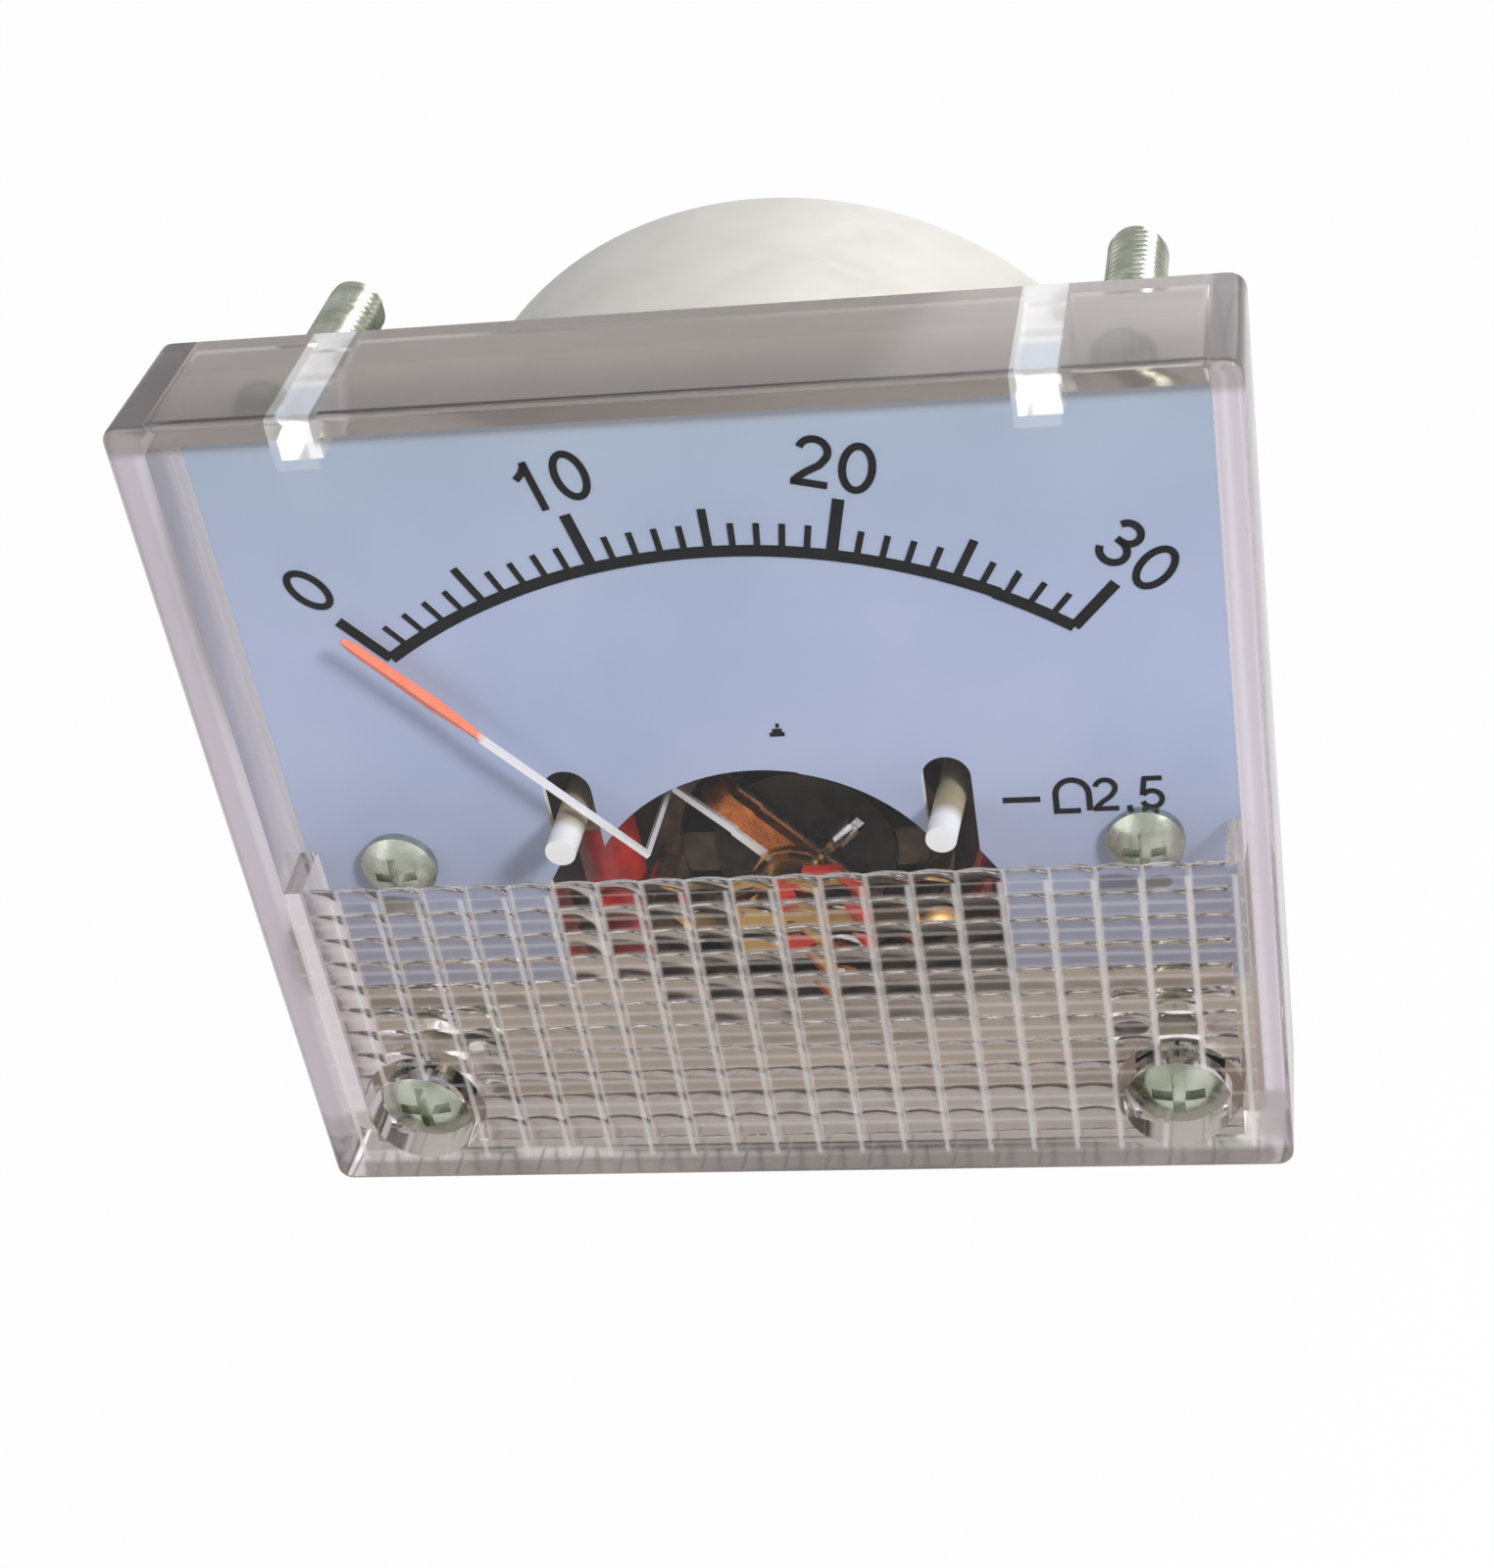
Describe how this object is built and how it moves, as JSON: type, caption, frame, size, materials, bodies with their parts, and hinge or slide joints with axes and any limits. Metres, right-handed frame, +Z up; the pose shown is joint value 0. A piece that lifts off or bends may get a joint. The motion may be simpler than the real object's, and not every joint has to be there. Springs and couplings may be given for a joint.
{
  "type": "analog panel meter",
  "caption": "Square moving-coil panel meter with a clear ribbed cover, printed scale, sprung pointer, round rear barrel, mounting studs and screw terminals.",
  "frame": {"origin": "centre of the flange's back face, which lies on the panel", "axes": "+Z up the dial, +X to its right as seen from the front, the dial faces -Y and the barrel, studs and terminals point along +Y"},
  "size_m": [0.05, 0.034, 0.045],
  "materials": {
    "clear_cover": "clear moulded polystyrene, polished, with a pillow-cell lens",
    "white_base": "white moulded plastic, satin",
    "dial_paint": "pale blue-grey dial paint, matt",
    "black_frame": "black moulded plastic, satin",
    "soft_iron": "dark plated soft iron",
    "magnet": "dark sintered magnet, ground",
    "red_lever": "red lacquered lever",
    "former_aluminium": "thin bright aluminium",
    "copper_winding": "enamelled copper wire",
    "pointer_paint": "orange blade on a bright arm",
    "resistor_paint": "red resistor lacquer",
    "wire_insulation": "red wire insulation",
    "spring_bronze": "phosphor bronze strip",
    "nylon": "white nylon, slightly translucent",
    "brass": "turned and stamped brass",
    "tinned_brass": "tinned brass, bright",
    "bright_steel": "bright steel",
    "zinc_steel": "zinc-plated steel, greenish"
  },
  "bodies": {
    "housing": {"cover": "clear_cover", "base": "white_base", "dial_plate": "dial_paint", "cover_screw_left": "zinc_steel", "cover_screw_right": "zinc_steel", "dial_screw_left": "zinc_steel", "dial_screw_right": "zinc_steel", "mount_stud_upper_left": "zinc_steel", "mount_stud_upper_right": "zinc_steel", "mount_stud_lower_left": "zinc_steel", "mount_stud_lower_right": "zinc_steel", "movement_frame": "black_frame", "frame_screw_left": "zinc_steel", "frame_screw_right": "zinc_steel", "yoke_ring": "soft_iron", "core_magnet": "magnet", "core_wedge_left": "brass", "core_wedge_right": "brass", "front_bridge": "brass", "bridge_post_left": "brass", "bridge_post_right": "brass", "bridge_screw_left": "brass", "bridge_screw_right": "brass", "front_jewel": "brass", "rear_bridge": "brass", "rear_bridge_screw_left": "zinc_steel", "rear_bridge_screw_right": "zinc_steel", "rear_jewel": "brass", "stop_pin_left": "zinc_steel", "stop_pin_right": "zinc_steel", "stop_sleeve_left": "nylon", "stop_sleeve_right": "nylon", "multiplier_resistor": "resistor_paint", "link_wire": "wire_insulation", "terminal_stud_left": "zinc_steel", "terminal_stud_right": "zinc_steel", "inner_washer_left": "zinc_steel", "inner_washer_right": "zinc_steel", "inner_nut_left": "zinc_steel", "inner_nut_right": "zinc_steel", "solder_lug_left": "tinned_brass", "solder_lug_right": "tinned_brass", "outer_washer_left": "zinc_steel", "outer_washer_right": "zinc_steel", "outer_nut_left": "zinc_steel", "outer_nut_right": "zinc_steel"},
    "needle": {"coil_former": "former_aluminium", "coil_winding": "copper_winding", "front_pivot": "bright_steel", "rear_pivot": "bright_steel", "front_hairspring": "spring_bronze", "rear_hairspring": "spring_bronze", "pointer": "pointer_paint", "balance_cross": "bright_steel", "balance_weight_tail": "bright_steel", "balance_weight_left": "bright_steel", "balance_weight_right": "bright_steel"},
    "zero_lever": {"zero_adjuster": "red_lever"}
  },
  "joints": [
    {"name": "needle_swing", "type": "hinge", "parent": "housing", "child": "needle", "pos_m": [0, 0, -0.0102], "axis": [0, 1, 0], "range_deg": [-2.8, 88.8], "stiffness_Nm_per_rad": 0.00001, "deforming": ["front_hairspring", "rear_hairspring"]},
    {"name": "zero_adjust", "type": "hinge", "parent": "housing", "child": "zero_lever", "pos_m": [0, 0, -0.0102], "axis": [0, 1, 0], "range_deg": [-8, 8]}
  ]
}
